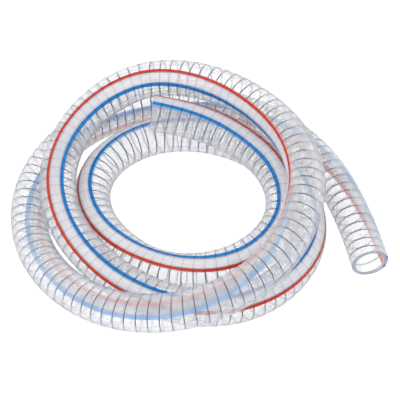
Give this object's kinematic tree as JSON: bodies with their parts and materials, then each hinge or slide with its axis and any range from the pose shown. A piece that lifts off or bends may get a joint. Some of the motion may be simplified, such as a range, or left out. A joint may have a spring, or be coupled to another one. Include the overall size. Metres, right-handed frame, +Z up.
{
  "type": "pvc suction hose",
  "caption": "Clear PVC suction hose with a red and a blue stripe, lying in a loose coil with both ends cut square and open.",
  "frame": {"origin": "on the floor, under the middle of the hose's box", "axes": "+Z up, +X along the longest extent, towards the side where the tail leaves the coil; the tail's open end faces -Y"},
  "size_m": [0.323, 0.2902, 0.0898],
  "materials": {
    "clear_wall": "clear, glossy, with fine rings over the embedded wire",
    "red_stripe": "glossy, extruded into the wall",
    "tint_band": "milky, glossy, extruded into the wall",
    "blue_stripe": "glossy, extruded into the wall",
    "steel_wire": "drawn spring wire, dull"
  },
  "bodies": {
    "root": {"hose_wall": "clear_wall", "red_stripe": "red_stripe", "tint_band": "tint_band", "blue_stripe": "blue_stripe"}
  },
  "joints": []
}
